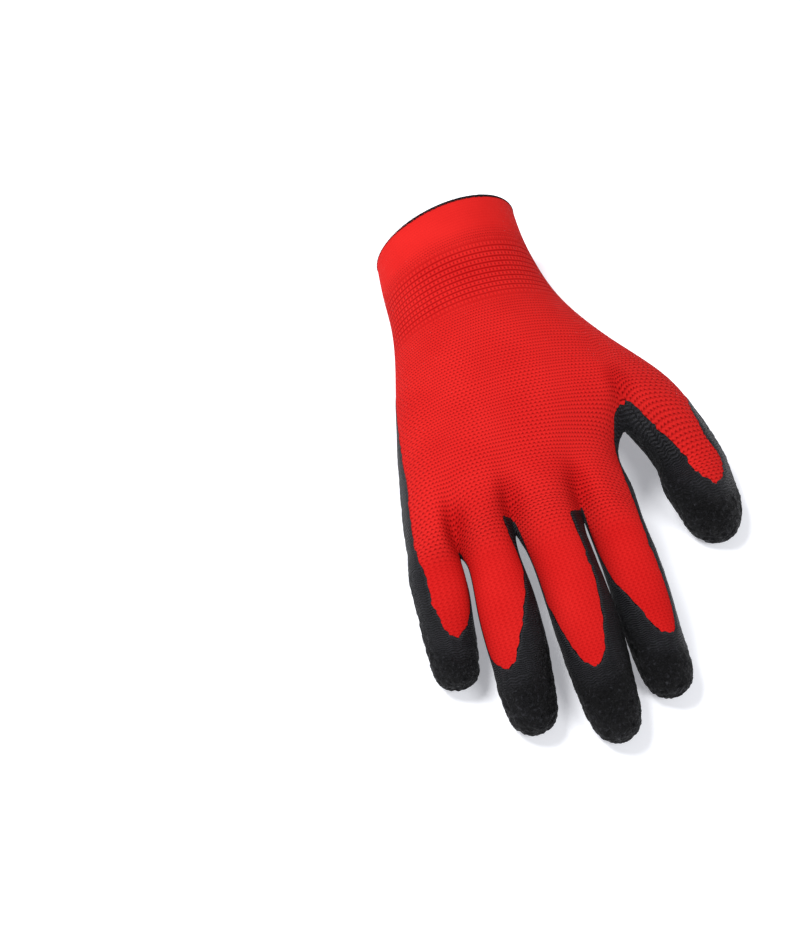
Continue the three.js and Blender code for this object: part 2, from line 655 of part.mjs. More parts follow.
const knitMaterial = new THREE.MeshStandardMaterial({ name: "red_knit", color: 0xd81f22, roughness: 0.85, metalness: 0 });
const latexMaterial = new THREE.MeshStandardMaterial({ name: "black_latex", color: 0x1c1c1f, roughness: 0.6, metalness: 0 });
const threadMaterial = new THREE.MeshStandardMaterial({ name: "black_thread", color: 0x17161a, roughness: 0.9, metalness: 0 });

function addPiece(group, name, mesh, material) {
  const piece = new THREE.Mesh(toGeometry(facingOut(mesh)), material);
  piece.name = name;
  group.add(piece);
}

const glove = new THREE.Group();
const surface = buildSurface();
const shell = thicken(surface.points, surface.normals, surface.triangles, -KNIT_WALL, 0);
const patch = coatedPatch(surface);
addPiece(glove, "knit_shell", shell, knitMaterial);
addPiece(glove, "latex_coating", thicken(patch.points, patch.normals, patch.triangles, COAT_GAP, COAT_GAP + COAT_WALL), latexMaterial);
addPiece(glove, "cuff_overlock", overlockRing(surface, shell.open), threadMaterial);

// The glove stands over the origin, which is the middle of its footprint
const bounds = new THREE.Box3().setFromObject(glove);
const middle = bounds.getCenter(new THREE.Vector3());
glove.position.set(-middle.x, -middle.y, -bounds.min.z);

export default glove;
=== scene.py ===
import math

import bpy
import numpy as np
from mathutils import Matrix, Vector, kdtree, noise


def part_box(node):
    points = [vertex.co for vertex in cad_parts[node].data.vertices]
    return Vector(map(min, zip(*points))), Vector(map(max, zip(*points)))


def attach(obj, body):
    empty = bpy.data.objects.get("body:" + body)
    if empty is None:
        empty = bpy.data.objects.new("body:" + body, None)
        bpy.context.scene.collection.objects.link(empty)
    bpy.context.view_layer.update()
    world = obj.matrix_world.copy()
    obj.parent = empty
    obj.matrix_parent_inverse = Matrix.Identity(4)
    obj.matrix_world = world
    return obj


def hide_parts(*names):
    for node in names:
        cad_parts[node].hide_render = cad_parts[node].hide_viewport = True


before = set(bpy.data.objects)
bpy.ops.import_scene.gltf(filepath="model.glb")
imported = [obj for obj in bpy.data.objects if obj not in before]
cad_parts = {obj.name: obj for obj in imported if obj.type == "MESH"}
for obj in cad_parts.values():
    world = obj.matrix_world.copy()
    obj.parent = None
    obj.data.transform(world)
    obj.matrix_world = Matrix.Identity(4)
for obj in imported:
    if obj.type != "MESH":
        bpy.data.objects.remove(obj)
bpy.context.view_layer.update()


# Knit shell: one seamless tube of red nylon that a knitting machine makes in one go, cuff first, then
# the hand with the thumb, and last the four fingers. It lies as two sheets, the back over the palm,
# with an elastic thread laid into the cuff's ribs. Sizes are in millimetres on the table.
KNIT_WALL = 1.1
# The latex's outer face stands this far off the knit, so the knit lies this high on the table
COAT_HEIGHT = 1.2
COLUMNS = 15
DIGIT_COLUMNS = 3
PALM_COLUMNS = 12
FIT_STEPS = 6
KNIT_LEVEL = 3
NORMAL_ROUNDS = 3

# Sections of the tube from the cuff's rim to the thumb crotch: points of the little finger's side, the
# thumb crotch and the thumb's side, mid heights at both sides and between, the full thickness, the
# section's squareness, and how far its columns have moved to the knuckles' spacing
TUBE_SECTIONS = (
    dict(little=(-41, 95), valley=(5, 105), thumb=(21.5, 108),
         centre=(22.5, 22.5, 22.5), thick=44, box=2.0, spread=0),
    dict(little=(-43, 77), valley=(4, 86), thumb=(20.5, 89),
         centre=(23, 23.4, 23), thick=42.5, box=2.0, spread=0),
    dict(little=(-45, 57), valley=(5, 64), thumb=(21.5, 66),
         centre=(26, 28, 25), thick=36, box=2.05, spread=0.1),
    dict(little=(-48.5, 38), valley=(9, 44), thumb=(27, 46),
         centre=(27, 31, 24), thick=34, box=2.15, spread=0.4),
    dict(little=(-53, 20), valley=(16, 24), thumb=(40.2, 24.1),
         centre=(28, 33, 21), thick=33, box=2.3, spread=0.7),
    dict(little=(-57, 3), valley=(22, 4), thumb=(55.2, 4.4),
         centre=(28, 33.5, 18), thick=32, box=2.4, spread=0.9),
    dict(little=(-60, -10), valley=(26, -10), thumb=(60.3, -14.8),
         centre=(28, 33, 16.5), thick=30, box=2.4, spread=1),
)
# Sections of the palm up to the finger crotches, with the dips of the three finger valleys
PALM_SECTIONS = (
    dict(little=(-62.5, -24), index=(20.5, -26), centre=(27.5, 32.5, 28), thick=30,
         back=(0, 0, 0), front=(0, 0, 0), shift=(0, 0, 0)),
    dict(little=(-65.4, -39), index=(19.5, -40), centre=(27, 31.5, 27.5), thick=28.5,
         back=(2, 1.5, 1.5), front=(2, 3, 3), shift=(0, 1, 1)),
    dict(little=(-67.3, -52), index=(19.5, -52), centre=(26, 30, 26.5), thick=26,
         back=(8, 6, 6), front=(6, 11, 11), shift=(-1, 3, 3)),
)
PALM_BOX = 2.4
THUMB_VALLEY = (1.5, 10)
KNUCKLE_SHARES = (0, 0.05, 0.135, 0.197, 0.27, 0.37, 0.443, 0.53, 0.655, 0.742, 0.82, 0.925, 1)
THUMB_SHARES = (0, 0.28, 0.74, 1)
# Fingers: axis from knuckle to tip, width at root, middle and end, thickness at knuckle and tip
FINGERS = (
    dict(name="little", base=(-58.6, -54, 24.5), tip=(-60.6, -96.6),
         width=(19.0, 18.8, 14.2), thick=(17, 14)),
    dict(name="ring", base=(-38.5, -54, 28), tip=(-39.5, -121.1),
         width=(18.7, 21.2, 16.2), thick=(18.5, 15.5)),
    dict(name="middle", base=(-14.8, -54, 28), tip=(-12, -131.7),
         width=(22, 22.6, 16.6), thick=(19.5, 16.5)),
    dict(name="index", base=(8.7, -54, 26), tip=(11.7, -119.2),
         width=(20.1, 20.1, 16.4), thick=(18.5, 15.5)),
)
TIP_LIFT = -1.0
FINGER_MIDDLE = 0.42
# Sections along every finger: share of its length, share of its drop, how far the end has closed in
FINGER_SECTIONS = ((0.12, 0.04, 1), (FINGER_MIDDLE, 0.27, 1), (0.72, 0.71, 1), (0.91, 0.95, 0.9),
                   (0.985, 1.0, 0.46))
# Sections of the thumb: centre, width, thickness and roll about its axis in degrees
THUMB_SECTIONS = (
    ((50.2, -25.6, 14.7), 29.8, 19, 25),
    ((50.6, -37.4, 12.1), 31, 18, 27),
    ((51.7, -48, 8.9), 25.6, 17, 27),
    ((50.4, -55, 7.1), 18.6, 14, 26),
    ((49.4, -58.4, 7.0), 8.6, 8, 24),
)
CROTCH_ROW = len(TUBE_SECTIONS) - 1
KNUCKLE_ROW = CROTCH_ROW + len(PALM_SECTIONS)
DIGIT_NAMES = [finger["name"] for finger in FINGERS] + ["thumb"]

# Stitches: how many wales lie across each digit's back, and the count of courses at each row of
# sections. The hand's side with the thumb has more courses, so that the thumb can turn out.
WALES = dict(little=14, ring=16, middle=19, index=17, thumb=18)
TUBE_COURSES = (0, 12, 26, 40, 53, 65.5, 75, 85, 94.5, 103)
THUMB_LEAN = (0, 0, 0, 1.5, 4.5, 8.5, 10, 5, 4, 2.5, 1.5, 1)
FINGER_COURSE = 1.05
THUMB_COURSE = 1.35


def lerp(a, b, share):
    return np.asarray(a, float) + (np.asarray(b, float) - np.asarray(a, float)) * share


class Cage:
    """Control points of the glove as a doubled sheet, each with its place in the knitting."""

    def __init__(self):
        self.points = []
        self.marks = []
        self.faces = []
        self.home = []
        self.index = {}

    def put(self, key, point, column, row, side, wale, course):
        self.index[key] = len(self.points)
        self.points.append([float(value) for value in point])
        self.marks.append([column, row, side, wale, course])

    def sheet(self, side, column, row):
        """A vertex of one sheet; both sheets share the vertices of the two sides."""
        edge = self.index.get(("edge", column, row))
        return self.index[(side, column, row)] if edge is None else edge

    def face(self, home, *corners):
        self.faces.append(corners)
        self.home.append(home)


def wale_at(column):
    """Wales counted from the little finger's side, whole at every valley."""
    digit = min(len(DIGIT_NAMES) - 1, int(column // DIGIT_COLUMNS))
    before = sum(WALES[name] for name in DIGIT_NAMES[:digit])
    return before + WALES[DIGIT_NAMES[digit]] * (column / DIGIT_COLUMNS - digit)


def lean_at(column, row):
    """Extra courses on the thumb at a column, more towards its outer side."""
    return THUMB_LEAN[min(row, len(THUMB_LEAN) - 1)] * max(0, column - PALM_COLUMNS) / DIGIT_COLUMNS


def put_section(cage, row, last_column, place, centre, thick, box, dip):
    """One section of the doubled sheet: a curve through three mid heights, and a superellipse."""
    low, mid, high = centre
    for column in range(last_column + 1):
        x, y, t = place(column)
        middle = ((low + high) / 2 - mid) * t * t + (high - low) / 2 * t + mid
        half = thick / 2 * (1 - min(1, abs(t)) ** box) ** (1 / box)
        stitch = (wale_at(column), TUBE_COURSES[row] + lean_at(column, row))
        if column in (0, last_column):
            cage.put(("edge", column, row), (x, y, middle), column, row, 0, *stitch)
            continue
        back, front = dip(column)
        cage.put(("back", column, row), (x, y, middle + half - back), column, row, 1, *stitch)
        cage.put(("palm", column, row), (x, y, middle - half + front), column, row, -1, *stitch)


def put_tube(cage):
    for row, section in enumerate(TUBE_SECTIONS):
        def place(column, section=section):
            little, valley, thumb = section["little"], section["valley"], section["thumb"]
            even = lerp(little, thumb, (1 - math.cos(math.pi * column / COLUMNS)) / 2)
            if column <= PALM_COLUMNS:
                knuckle = lerp(little, valley, KNUCKLE_SHARES[column])
            else:
                knuckle = lerp(valley, thumb, THUMB_SHARES[column - PALM_COLUMNS])
            x, y = lerp(even, knuckle, section["spread"])
            return x, y, 2 * (x - little[0]) / (thumb[0] - little[0]) - 1

        def dip(column, row=row):
            return THUMB_VALLEY if (row, column) == (CROTCH_ROW, PALM_COLUMNS) else (0, 0)

        put_section(cage, row, COLUMNS, place, section["centre"], section["thick"], section["box"], dip)


def put_palm(cage):
    for i, section in enumerate(PALM_SECTIONS):
        shifts = (0, *section["shift"], 0)

        def place(column, section=section, shifts=shifts):
            little, index = section["little"], section["index"]
            x, y = lerp(little, index, KNUCKLE_SHARES[column])
            before = min(3, column // DIGIT_COLUMNS)
            y += lerp(shifts[before], shifts[before + 1], column / DIGIT_COLUMNS - before)
            return x, y, 2 * (x - little[0]) / (index[0] - little[0]) - 1

        def dip(column, section=section):
            valley, rest = divmod(column, DIGIT_COLUMNS)
            return (0, 0) if rest else (section["back"][valley - 1], section["front"][valley - 1])

        put_section(cage, CROTCH_ROW + 1 + i, PALM_COLUMNS, place, section["centre"], section["thick"],
                    PALM_BOX, dip)


# A digit's section is a ring of six vertices: name, across, up, column
RING = (("left", -1, 0, 0), ("back_left", -0.5, 0.866, 1), ("back_right", 0.5, 0.866, 2),
        ("right", 1, 0, 3), ("palm_right", 0.5, -0.866, 2), ("palm_left", -0.5, -0.866, 1))
SHEET_ORDER = {"back": ("left", "back_left", "back_right", "right"),
               "palm": ("left", "palm_left", "palm_right", "right")}


def finger_sections(finger):
    """Centre, width, thickness and roll of a finger's sections."""
    base, tip = finger["base"], finger["tip"]
    root, middle, end = finger["width"]
    tip_height = finger["thick"][1] / 2 + TIP_LIFT
    sections = []
    for along, drop, closed in FINGER_SECTIONS:
        x, y = lerp(base[:2], tip, along)
        if along < FINGER_MIDDLE:
            start = FINGER_SECTIONS[0][0]
            width = lerp(root, middle, (along - start) / (FINGER_MIDDLE - start))
        else:
            width = lerp(middle, end, (along - FINGER_MIDDLE) / (1 - FINGER_MIDDLE))
        height = lerp(base[2], tip_height, drop)
        thick = lerp(*finger["thick"], along)
        sections.append(((x, y, height), width * closed, thick * closed, 0))
    return sections


def put_digit(cage, name, first_column, base_row, sections, course_step):
    """Rings of a digit, and the quads between them up to its closed end."""
    centres = [np.array(section[0], float) for section in sections]
    course = TUBE_COURSES[base_row]
    root = [cage.sheet(side, first_column + k, base_row) for side in ("back", "palm") for k in (1, 2)]
    start = np.mean([cage.points[vertex] for vertex in root], axis=0)
    for i, (centre, width, thick, roll) in enumerate(sections):
        step = centres[i] - (centres[i - 1] if i else start)
        course += np.linalg.norm(step) / course_step
        along = centres[min(i + 1, len(sections) - 1)] - centres[max(i - 1, 0)]
        across = np.cross(along, (0, 0, 1))
        across /= np.linalg.norm(across) * (1 if across[0] > 0 else -1)
        up = np.cross(across, along)
        up /= np.linalg.norm(up) * (1 if up[2] > 0 else -1)
        angle = math.radians(roll)
        rolled_across = across * math.cos(angle) - up * math.sin(angle)
        rolled_up = up * math.cos(angle) + across * math.sin(angle)
        for spot, share, rise, column in RING:
            point = centres[i] + rolled_across * share * width / 2 + rolled_up * rise * thick / 2
            column += first_column
            row = base_row + 1 + i
            cage.put((name, spot, row), point, column, row, np.sign(rise), wale_at(column),
                     course + lean_at(column, row))
    last = base_row + len(sections)

    def spot(side, k, row):
        if row == base_row:
            return cage.sheet(side, first_column + k, row)
        return cage.index[(name, SHEET_ORDER[side][k], row)]

    for row in range(base_row, last):
        for k in range(DIGIT_COLUMNS):
            cage.face(name, spot("back", k, row), spot("back", k, row + 1),
                      spot("back", k + 1, row + 1), spot("back", k + 1, row))
            cage.face(name, spot("palm", k, row), spot("palm", k + 1, row),
                      spot("palm", k + 1, row + 1), spot("palm", k, row + 1))
    cage.face(name, *[spot("back", k, last) for k in (0, 3, 2, 1)])
    cage.face(name, *[spot("palm", k, last) for k in range(4)])


def build_cage():
    cage = Cage()
    put_tube(cage)
    put_palm(cage)
    for row in range(KNUCKLE_ROW):
        for column in range(COLUMNS if row < CROTCH_ROW else PALM_COLUMNS):
            home = DIGIT_NAMES[column // DIGIT_COLUMNS]
            corners = [(column, row), (column, row + 1), (column + 1, row + 1), (column + 1, row)]
            cage.face(home, *[cage.sheet("back", *corner) for corner in corners])
            cage.face(home, *[cage.sheet("palm", *corner) for corner in corners[:1] + corners[:0:-1]])
    for i, finger in enumerate(FINGERS):
        put_digit(cage, finger["name"], i * DIGIT_COLUMNS, KNUCKLE_ROW, finger_sections(finger),
                  FINGER_COURSE)
    put_digit(cage, "thumb", PALM_COLUMNS, CROTCH_ROW, THUMB_SECTIONS, THUMB_COURSE)
    for i in range(len(FINGERS) - 1):
        column, row = (i + 1) * DIGIT_COLUMNS, KNUCKLE_ROW
        cage.face("web", cage.index[("back", column, row)], cage.index[(DIGIT_NAMES[i], "right", row + 1)],
                  cage.index[("palm", column, row)], cage.index[(DIGIT_NAMES[i + 1], "left", row + 1)])
    cage.face("web", cage.index[("back", PALM_COLUMNS, CROTCH_ROW)],
              cage.index[("edge", PALM_COLUMNS, CROTCH_ROW + 1)],
              cage.index[("palm", PALM_COLUMNS, CROTCH_ROW)],
              cage.index[("thumb", "left", CROTCH_ROW + 1)])
    return cage


class Quads:
    """A quad mesh with linear marks on its vertices, which can be smoothed by Catmull-Clark steps."""

    def __init__(self, points, faces, marks):
        self.points = np.asarray(points, float)
        self.faces = np.asarray(faces, int)
        self.marks = np.asarray(marks, float)
        sides = np.stack([self.faces, np.roll(self.faces, -1, axis=1)], -1).reshape(-1, 2)
        edges, which, uses = np.unique(np.sort(sides, axis=1), axis=0, return_inverse=True,
                                       return_counts=True)
        self.edges = edges
        self.face_edges = which.reshape(-1, 4)
        self.open = uses == 1
        self.rim = np.zeros(len(self.points), bool)
        self.rim[edges[self.open]] = True
        self.valence = np.bincount(edges.ravel(), minlength=len(self.points))[:, None]

    def gather(self, ends, others, values):
        """Sum of values over what meets each vertex."""
        total = np.zeros((len(self.points), values.shape[1]))
        np.add.at(total, ends, values[others] if others is not None else values)
        return total

    def neighbours(self, edges):
        """Sum of the points across the edges from each vertex."""
        first, second = edges.T
        return self.gather(first, second, self.points) + self.gather(second, first, self.points)

    def limit(self):
        """Where each vertex ends up on the smooth surface."""
        n = self.valence
        near = self.neighbours(self.edges)
        far = self.gather(self.faces.ravel(), np.roll(self.faces, 2, axis=1).ravel(), self.points)
        inside = (n * n * self.points + 4 * near + far) / (n * (n + 5))
        border = (4 * self.points + self.neighbours(self.edges[self.open])) / 6
        return np.where(self.rim[:, None], border, inside)

    def smoothed(self):
        """The mesh after one Catmull-Clark step; each face gives four, in order."""
        face_points = self.points[self.faces].mean(1)
        ends = self.points[self.edges]
        middles = ends.mean(1)
        beside = np.zeros_like(middles)
        np.add.at(beside, self.face_edges.ravel(), np.repeat(face_points, 4, axis=0))
        edge_points = np.where(self.open[:, None], middles, (ends.sum(1) + beside) / 4)
        n = self.valence
        corners = self.faces.ravel()
        face_count = np.bincount(corners, minlength=len(self.points))[:, None]
        around = self.gather(corners, None, np.repeat(face_points, 4, axis=0)) / face_count
        mids = self.gather(self.edges[:, 0], None, middles) + self.gather(self.edges[:, 1], None, middles)
        inside = (around + 2 * mids / n + (n - 3) * self.points) / n
        border = 0.75 * self.points + 0.125 * self.neighbours(self.edges[self.open])
        moved = np.where(self.rim[:, None], border, inside)
        first_edge = len(self.points)
        first_face = first_edge + len(self.edges)
        of_edge = first_edge + self.face_edges
        centre = np.repeat(first_face + np.arange(len(self.faces))[:, None], 4, axis=1)
        faces = np.stack([self.faces, of_edge, centre, np.roll(of_edge, 1, axis=1)], -1).reshape(-1, 4)
        marks = np.vstack([self.marks, self.marks[self.edges].mean(1), self.marks[self.faces].mean(1)])
        return Quads(np.vstack([moved, edge_points, face_points]), faces, marks)


def fitted(cage):
    """The cage with its vertices moved until the smooth surface passes through the sections' points."""
    goal = np.array(cage.points)
    mesh = Quads(goal, cage.faces, cage.marks)
    for _ in range(FIT_STEPS):
        mesh.points = mesh.points + goal - mesh.limit()
    return mesh


def point_normals(points, faces, rounds):
    """Normals at the points, averaged with their neighbours' a few times."""
    corners = points[faces]
    across = np.cross(corners[:, 2] - corners[:, 0], corners[:, 3] - corners[:, 1])
    normals = np.zeros_like(points)
    np.add.at(normals, faces.ravel(), np.repeat(across, 4, axis=0))
    normals /= np.linalg.norm(normals, axis=1)[:, None]
    for _ in range(rounds):
        total = normals * 4
        np.add.at(total, faces.ravel(), np.repeat(normals[faces].mean(1), 4, axis=0))
        normals = total / np.linalg.norm(total, axis=1)[:, None]
    return normals


def surface_at(level, rounds):
    """The glove's outer face at a level of smoothing, pressed flat where it lies on the table."""
    mesh = fitted_cage
    for _ in range(level):
        mesh = mesh.smoothed()
    points = mesh.limit()
    normals = point_normals(points, mesh.faces, rounds)
    pressed = points[:, 2] <= COAT_HEIGHT
    points[pressed, 2] = COAT_HEIGHT
    normals[pressed] = (0, 0, -1)
    return mesh, points, normals


cage = build_cage()
fitted_cage = fitted(cage)
# The solid of the frame has the same surface, so its box tells where the table's origin lies
coarse_low = surface_at(1, 0)[1].min(0) / 1000
knit_low = np.array(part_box("knit_shell")[0])
TABLE_SHIFT = np.array([knit_low[0] - coarse_low[0], knit_low[1] - coarse_low[1], 0.0])


def add_mesh(name, points_mm, faces):
    """A smooth-shaded mesh object at the origin, from table millimetres."""
    mesh = bpy.data.meshes.new(name)
    mesh.from_pydata((points_mm / 1000 + TABLE_SHIFT).tolist(), [], [list(face) for face in faces])
    mesh.validate()
    mesh.shade_smooth()
    piece = bpy.data.objects.new(name, mesh)
    bpy.context.scene.collection.objects.link(piece)
    return piece


def add_marks(piece, **values):
    """Named numbers on the points of a mesh, which its finish reads."""
    for name, data in values.items():
        layer = piece.data.attributes.new(name, "FLOAT", "POINT")
        layer.data.foreach_set("value", np.asarray(data, np.float32))


def add_stitch_map(piece, wale, course):
    """The UV map: wales across and courses along, so that a pattern follows the knitting."""
    corners = np.zeros(len(piece.data.loops), int)
    piece.data.loops.foreach_get("vertex_index", corners)
    layer = piece.data.uv_layers.new(name="stitches")
    layer.data.foreach_set("uv", np.stack([wale[corners], course[corners]], 1).astype(np.float32).ravel())


def open_loop(faces):
    """The vertices of a mesh's one open edge, in order."""
    sides = np.stack([faces, np.roll(faces, -1, axis=1)], -1).reshape(-1, 2)
    held = set(map(tuple, sides.tolist()))
    follow = {a: b for a, b in held if (b, a) not in held}
    loop = [min(follow)]
    while follow[loop[-1]] != loop[0]:
        loop.append(follow[loop[-1]])
    return loop


knit_mesh, knit_points, knit_normals = surface_at(KNIT_LEVEL, NORMAL_ROUNDS)
inner_points = knit_points - knit_normals * KNIT_WALL
count = len(knit_points)
rim = open_loop(knit_mesh.faces)
turned_in = knit_mesh.faces[:, ::-1] + count
ledge = [(b, a, a + count, b + count) for a, b in zip(rim, rim[1:] + rim[:1])]
shell = add_mesh("red_knit_shell", np.vstack([knit_points, inner_points]),
                 np.vstack([knit_mesh.faces, turned_in, ledge]))
row, wale, course = np.vstack([knit_mesh.marks, knit_mesh.marks])[:, (1, 3, 4)].T
add_stitch_map(shell, wale, course)


def ramp(values, low, high):
    """0 below low, 1 above high, eased between."""
    share = np.clip((values - low) / (high - low), 0, 1)
    return share * share * (3 - 2 * share)


# Rows of sections between which the elastic's ribs come in and go out
RIBS_START = (1.1, 1.6)
RIBS_END = (2.6, 3.2)
elastic = ramp(row, *RIBS_START) * (1 - ramp(row, *RIBS_END))
# The knit is pulled open wider just behind each crotch, over an area of about these half sizes. The same
# share also paints shade into the valleys there
OPEN_BEHIND = (0, 4.0, 0)
OPEN_SIZE = np.array((6.0, 9.0, 14.0))
OPEN_FADE = (0.35, 1.35)
crotches = [cage.index[("back", k * DIGIT_COLUMNS, KNUCKLE_ROW)] for k in range(1, len(FINGERS))]
crotches.append(cage.index[("back", PALM_COLUMNS, CROTCH_ROW)])
open_spots = np.array([cage.points[vertex] for vertex in crotches]) + OPEN_BEHIND
reach = np.linalg.norm((np.vstack([knit_points, knit_points])[:, None] - open_spots) / OPEN_SIZE, axis=2)
stretched = (1 - ramp(reach, *OPEN_FADE)).max(1)
add_marks(shell, section_row=row, elastic=elastic, stretched=stretched)


class Signal:
    """A socket of a shader tree that Python's operators work on."""

    def __init__(self, finish, socket):
        self.finish = finish
        self.socket = socket

    def math(self, operation, *others, swapped=False):
        values = [self, *others]
        if swapped:
            values.reverse()
        return self.finish.add("ShaderNodeMath", {"operation": operation}, dict(enumerate(values)))

    def __add__(self, other):
        return self.math("ADD", other)

    __radd__ = __add__

    def __sub__(self, other):
        return self.math("SUBTRACT", other)

    def __rsub__(self, other):
        return self.math("SUBTRACT", other, swapped=True)

    def __mul__(self, other):
        return self.math("MULTIPLY", other)

    __rmul__ = __mul__

    def __pow__(self, other):
        return self.math("POWER", other)

    def clip(self):
        return self.math("MINIMUM", 1.0).math("MAXIMUM", 0.0)

    def ease(self, low, high):
        """0 below low, 1 above high, eased between."""
        return self.finish.add("ShaderNodeMapRange", {"interpolation_type": "SMOOTHSTEP"},
                               {"Value": self, "From Min": low, "From Max": high})

    def wave(self, turns=1.0):
        """A cosine from 0 to 1 that repeats each time the signal grows by 1 / turns."""
        return (self * (math.tau * turns)).math("COSINE") * 0.5 + 0.5


class Finish:
    """A material whose nodes are laid out from Python."""

    def __init__(self, name, fixed):
        self.material = bpy.data.materials.new(name)
        self.material.use_nodes = True
        self.nodes = self.material.node_tree.nodes
        self.links = self.material.node_tree.links
        self.shader = self.nodes["Principled BSDF"]
        for socket, value in fixed.items():
            self.shader.inputs[socket].default_value = value

    def add(self, kind, settings=None, sockets=None, output=0):
        """A node with its settings made first, then the values or links of its sockets."""
        node = self.nodes.new(kind)
        for name, value in (settings or {}).items():
            setattr(node, name, value)
        for name, value in (sockets or {}).items():
            self.feed(node.inputs[name], value)
        return Signal(self, node.outputs[output])

    def feed(self, socket, value):
        if isinstance(value, Signal):
            self.links.new(value.socket, socket)
        elif socket.type == "RGBA" and len(value) == 3:
            socket.default_value = (*value, 1)
        else:
            socket.default_value = value

    def mark(self, name):
        return self.add("ShaderNodeAttribute", {"attribute_name": name}, output="Fac")

    def stitches(self):
        """Wale and course at a spot, from the stitch map."""
        place = self.add("ShaderNodeUVMap", {"uv_map": "stitches"})
        split = self.add("ShaderNodeSeparateXYZ", None, {0: place})
        return split, Signal(self, split.socket.node.outputs[1])

    def grain(self, scale, detail=2.0, roughness=0.5):
        """Noise from 0 to 1 on the piece's own coordinates, scale in patches per metre."""
        place = self.add("ShaderNodeTexCoord", output="Object")
        return self.add("ShaderNodeTexNoise", None, {"Vector": place, "Scale": scale, "Detail": detail,
                                                     "Roughness": roughness})

    def blend(self, share, low, high):
        """A colour between two."""
        node = self.nodes.new("ShaderNodeMix")
        node.data_type = "RGBA"
        for socket, value in (("Factor_Float", share), ("A_Color", low), ("B_Color", high)):
            self.feed(next(s for s in node.inputs if s.identifier == socket), value)
        return Signal(self, next(s for s in node.outputs if s.identifier == "Result_Color"))

    def bump(self, height, depth, strength=1.0):
        """Relief of a height from 0 to 1 that stands for a depth in metres."""
        normal = self.add("ShaderNodeBump", None,
                          {"Height": height, "Distance": depth, "Strength": strength})
        self.feed(self.shader.inputs["Normal"], normal)


RED = (0.56, 0.0155, 0.0135)
# Darker red for painted shade and for the knit's own darker tone
RED_SHADE_AND_TONE = (0.34, 0.0010, 0.0020)
RED_HOLE = (0.13, 0.0002, 0.0008)
CUFF_WALES = 0.66
KNIT_DEPTH = 0.00026

knit = Finish("red_knit", {"Specular IOR Level": 0.03})
u, v = knit.stitches()
elastic_share = knit.mark("elastic")
stretch_and_shade_share = knit.mark("stretched")
row_here = knit.mark("section_row")
on_finger = row_here.ease(9.3, 10.2)
on_rim = 1.0 - row_here.ease(0.8, 1.3)
plain_share = 1.0 - elastic_share

# Every course is a row of loops, and the loops of one course sit between those of the next. A small
# hole shows beside each loop.
sway = (v * math.pi).math("SINE")
zigzag = u + sway * 0.2
course_wave = v + (zigzag * math.tau).math("SINE") * 0.17
crest = course_wave.wave()
loop = (zigzag + 0.25).wave()
hole = ((1.0 - crest) ** 2.0 * (0.26 + (1.0 - loop) ** 1.6 * 0.80)).clip()
# The elastic pulls every second course of the cuff under, which leaves a furrow, and its holes stand
# in straight columns. The furrow is also painted darker, as painted shade
furrow = (1.0 - v.wave(turns=0.5)) ** 3.5
cuff_hole = ((v.wave(turns=0.5) * (u * CUFF_WALES).wave()) ** 2.0 * 1.2).clip()
strand = (u * 2.0 + v * 1.0).wave()
fuzz = knit.grain(2600.0, 3.0, 0.6)
patches = knit.grain(45.0, 2.0, 0.5)

calm = (on_finger * 0.85 + on_rim * 0.90).clip()
# Shares of the dark holes and of the darker red on the hand, the fingers and the cuff. Besides the knit's
# own holes, course pattern, wale stripes and uneven tone, these paint shade: darker red in the valleys
# behind the crotches and over every finger, and hole red and darker red in the cuff's furrows
hand_dots = hole * plain_share * (1.0 - calm) * (0.78 + stretch_and_shade_share * 0.22)
finger_dots = hole * on_finger * 0.10
# Painted shade: the cuff's furrows are coloured towards the hole red
cuff_dots = (cuff_hole * 0.70 + furrow * 0.42) * elastic_share
dots = (hand_dots + finger_dots + cuff_dots).clip()
# Painted shade: the valleys behind the crotches are coloured darker
hand_shade = (1.0 - crest) * plain_share * 0.08 + stretch_and_shade_share * 0.35
# Painted shade: every finger is coloured darker than the hand, with faint stripes along its wales
finger_shade = (0.22 + (1.0 - loop) * 0.16) * on_finger
# Painted shade in the cuff's furrows
cuff_shade = furrow * elastic_share * 0.75
uneven = (patches - 0.5) * 0.60 + (fuzz - 0.5) * 0.40 + strand * 0.14
painted_shade_and_tone = (hand_shade + finger_shade + cuff_shade + uneven).clip()
colour = knit.blend(painted_shade_and_tone, RED, RED_SHADE_AND_TONE)
colour = knit.blend(dots, colour, RED_HOLE)
knit.feed(knit.shader.inputs["Base Color"], colour)
knit.feed(knit.shader.inputs["Roughness"], 0.80 + painted_shade_and_tone * 0.15)
relief = (crest * (0.35 - calm * 0.22) * plain_share + strand * 0.10 + fuzz * 0.16 - dots * 0.7
          - furrow * elastic_share * 0.6)
knit.bump(relief, KNIT_DEPTH, 0.9)
shell.data.materials.append(knit.material)

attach(shell, "root")
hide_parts("knit_shell")


# Latex coating: the palm, the fingertips and the thumb's tip are dipped in black latex, which dries to
# a crinkled skin. At its edge the dip is thin and smooth and shows the courses of the knit under it,
# and the edge steps from stitch to stitch.
COAT_LEVEL = 4
COAT_NORMAL_ROUNDS = 4
COAT_INNER = 0.06
COAT_EDGE = 0.22
COAT_LEAST = 0.10
# The latex rises and then thickens between these distances from its edge, up to the height that leaves
# its folds room
RISES = (-0.6, 1.0)
THICKENS = (2.5, 11.0)
COAT_FULL = COAT_HEIGHT - 0.28
# Folds in two sizes: the patches of the noise behind them, and their height
FOLDS = ((2.6, 0.22), (1.5, 0.14))
FOLD_SHIFT = 60
